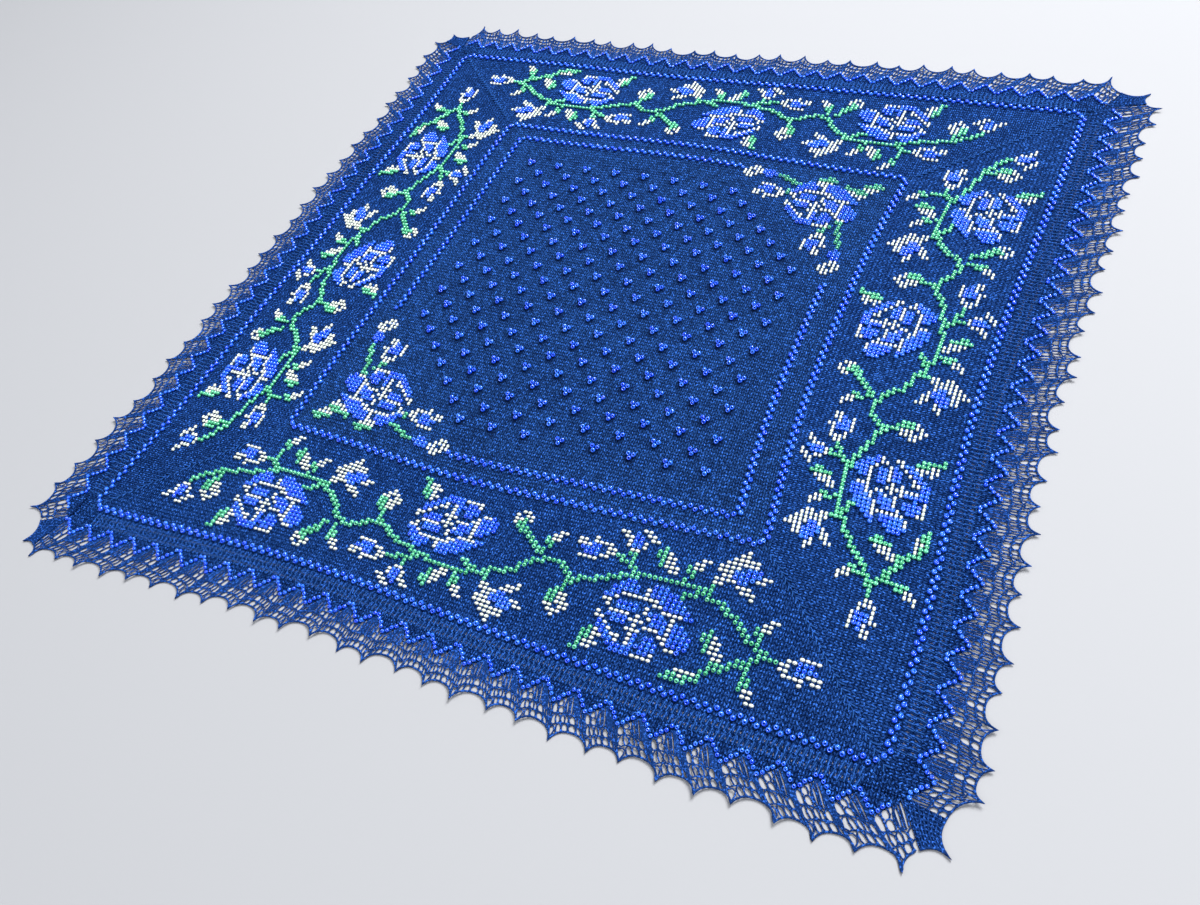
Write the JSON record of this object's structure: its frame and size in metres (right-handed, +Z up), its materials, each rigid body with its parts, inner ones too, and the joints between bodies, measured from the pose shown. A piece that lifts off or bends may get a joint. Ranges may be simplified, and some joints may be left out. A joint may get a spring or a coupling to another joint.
{
  "type": "lace shawl",
  "caption": "Square dark blue knitted lace shawl laid out flat, with a beaded rose vine border, bead frames and a scalloped net edging.",
  "frame": {"origin": "middle of the shawl's underside, on the surface that it lies on", "axes": "+Z up out of the cloth, +X to the right and +Y away from the near side, both along the sides of the square"},
  "size_m": [1.063, 1.0655, 0.0037],
  "materials": {
    "centre": "fine knitted yarn, navy blue",
    "border": "fine knitted yarn, navy blue",
    "edging": "knitted lace net, navy blue",
    "gusset": "dense knitted yarn, dark navy blue",
    "beads_blue": "glossy royal blue glass beads",
    "beads_green": "glossy sea green glass beads",
    "beads_cream": "pearly cream glass beads"
  },
  "bodies": {
    "root": {"centre_panel": "centre", "border_near": "border", "border_right": "border", "border_far": "border", "border_left": "border", "edging_near": "edging", "edging_right": "edging", "edging_far": "edging", "edging_left": "edging", "gusset_near_right": "gusset", "gusset_right_far": "gusset", "gusset_far_left": "gusset", "gusset_left_near": "gusset"}
  },
  "joints": []
}
